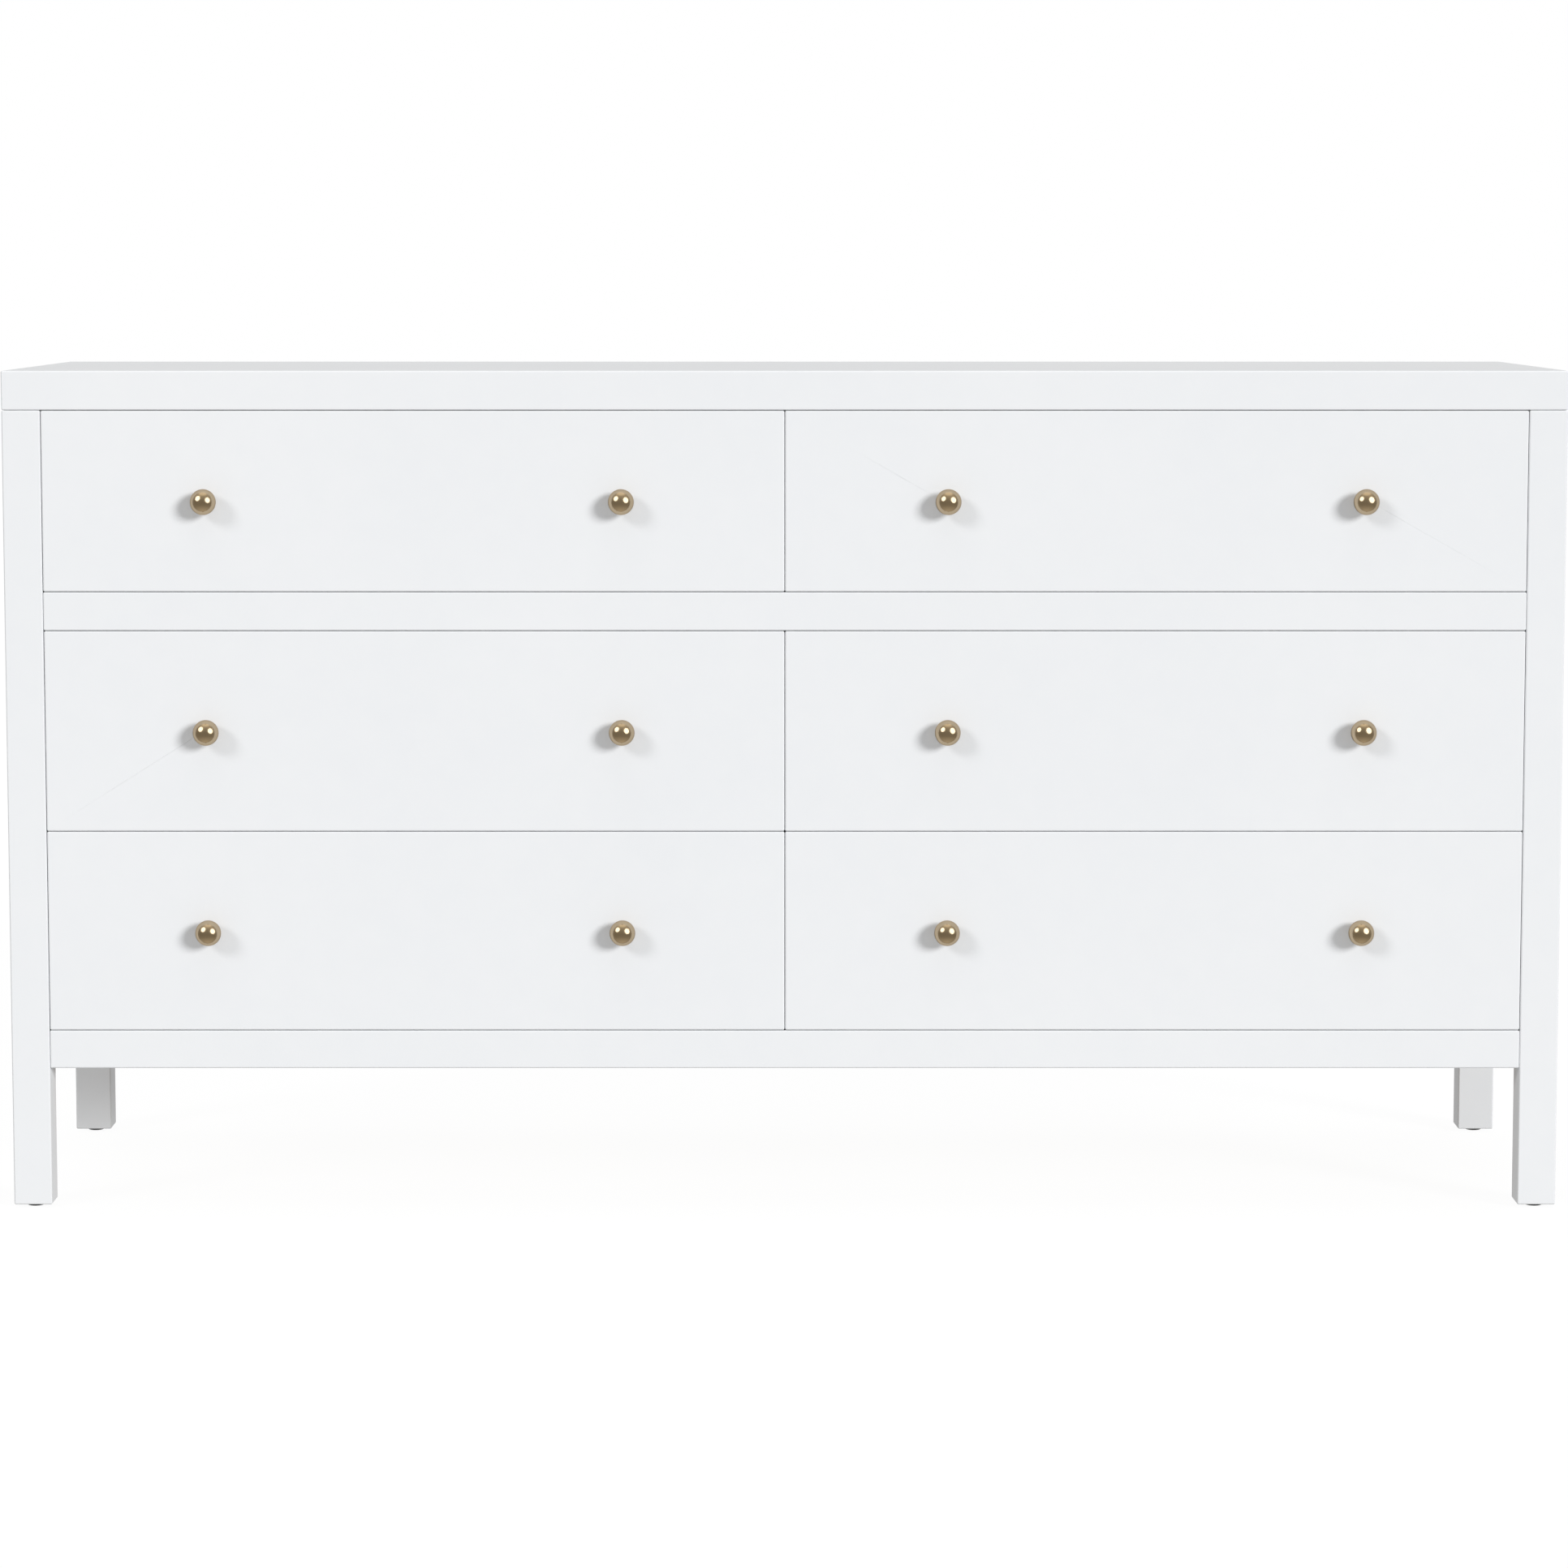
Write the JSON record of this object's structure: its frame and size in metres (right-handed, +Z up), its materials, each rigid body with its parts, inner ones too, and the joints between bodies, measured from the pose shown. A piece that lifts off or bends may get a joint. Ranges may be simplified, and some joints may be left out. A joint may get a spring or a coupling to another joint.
{
  "type": "dresser with drawers",
  "caption": "Wide low white dresser with side-by-side stacks of inset drawers, small brass ball knobs, a thick flush top and square legs that lift the case off the floor.",
  "frame": {"origin": "on the floor, under the middle of the overall box of the closed dresser, knobs included", "axes": "+Z up, +X to the right for someone facing the drawers, +Y towards the wall, so the drawers open along -Y"},
  "size_m": [1.524, 0.492, 0.8255],
  "materials": {
    "white_paint": "satin white lacquer on solid and engineered wood",
    "white_board": "white foil on hardboard",
    "drawer_wood": "clear lacquered light wood",
    "bottom_ply": "thin plywood, clear sealed",
    "zinc_steel": "bright zinc plate",
    "brass": "polished champagne brass",
    "dark_plastic": "matt"
  },
  "bodies": {
    "case": {"top_panel": "white_paint", "leg_front_left": "white_paint", "leg_front_right": "white_paint", "leg_back_left": "white_paint", "leg_back_right": "white_paint", "side_panel_left": "white_paint", "side_panel_right": "white_paint", "back_panel": "white_board", "centre_partition": "white_paint", "front_rail_middle": "white_paint", "front_rail_bottom": "white_paint", "back_rail_top": "white_paint", "back_rail_bottom": "white_paint", "top_stretcher_front": "white_paint", "glide_front_left": "dark_plastic", "glide_front_right": "dark_plastic", "glide_back_left": "dark_plastic", "glide_back_right": "dark_plastic", "slide_upper_left_outer": "zinc_steel", "slide_upper_left_inner": "zinc_steel", "slide_upper_right_outer": "zinc_steel", "slide_upper_right_inner": "zinc_steel", "slide_middle_left_outer": "zinc_steel", "slide_middle_left_inner": "zinc_steel", "slide_middle_right_outer": "zinc_steel", "slide_middle_right_inner": "zinc_steel", "slide_lower_left_outer": "zinc_steel", "slide_lower_left_inner": "zinc_steel", "slide_lower_right_outer": "zinc_steel", "slide_lower_right_inner": "zinc_steel"},
    "drawer_upper_left": {"drawer_front_upper_left": "white_paint", "drawer_box_upper_left": "drawer_wood", "drawer_bottom_upper_left": "bottom_ply", "knob_upper_left_inner": "brass", "knob_upper_left_outer": "brass"},
    "drawer_upper_right": {"drawer_front_upper_right": "white_paint", "drawer_box_upper_right": "drawer_wood", "drawer_bottom_upper_right": "bottom_ply", "knob_upper_right_inner": "brass", "knob_upper_right_outer": "brass"},
    "drawer_middle_left": {"drawer_front_middle_left": "white_paint", "drawer_box_middle_left": "drawer_wood", "drawer_bottom_middle_left": "bottom_ply", "knob_middle_left_inner": "brass", "knob_middle_left_outer": "brass"},
    "drawer_middle_right": {"drawer_front_middle_right": "white_paint", "drawer_box_middle_right": "drawer_wood", "drawer_bottom_middle_right": "bottom_ply", "knob_middle_right_inner": "brass", "knob_middle_right_outer": "brass"},
    "drawer_lower_left": {"drawer_front_lower_left": "white_paint", "drawer_box_lower_left": "drawer_wood", "drawer_bottom_lower_left": "bottom_ply", "knob_lower_left_inner": "brass", "knob_lower_left_outer": "brass"},
    "drawer_lower_right": {"drawer_front_lower_right": "white_paint", "drawer_box_lower_right": "drawer_wood", "drawer_bottom_lower_right": "bottom_ply", "knob_lower_right_inner": "brass", "knob_lower_right_outer": "brass"}
  },
  "joints": [
    {"name": "drawer_upper_left_slide", "type": "slide", "parent": "case", "child": "drawer_upper_left", "axis": [0, -1, 0], "range_m": [0, 0.3]},
    {"name": "drawer_upper_right_slide", "type": "slide", "parent": "case", "child": "drawer_upper_right", "axis": [0, -1, 0], "range_m": [0, 0.3]},
    {"name": "drawer_middle_left_slide", "type": "slide", "parent": "case", "child": "drawer_middle_left", "axis": [0, -1, 0], "range_m": [0, 0.3]},
    {"name": "drawer_middle_right_slide", "type": "slide", "parent": "case", "child": "drawer_middle_right", "axis": [0, -1, 0], "range_m": [0, 0.3]},
    {"name": "drawer_lower_left_slide", "type": "slide", "parent": "case", "child": "drawer_lower_left", "axis": [0, -1, 0], "range_m": [0, 0.3]},
    {"name": "drawer_lower_right_slide", "type": "slide", "parent": "case", "child": "drawer_lower_right", "axis": [0, -1, 0], "range_m": [0, 0.3]}
  ]
}
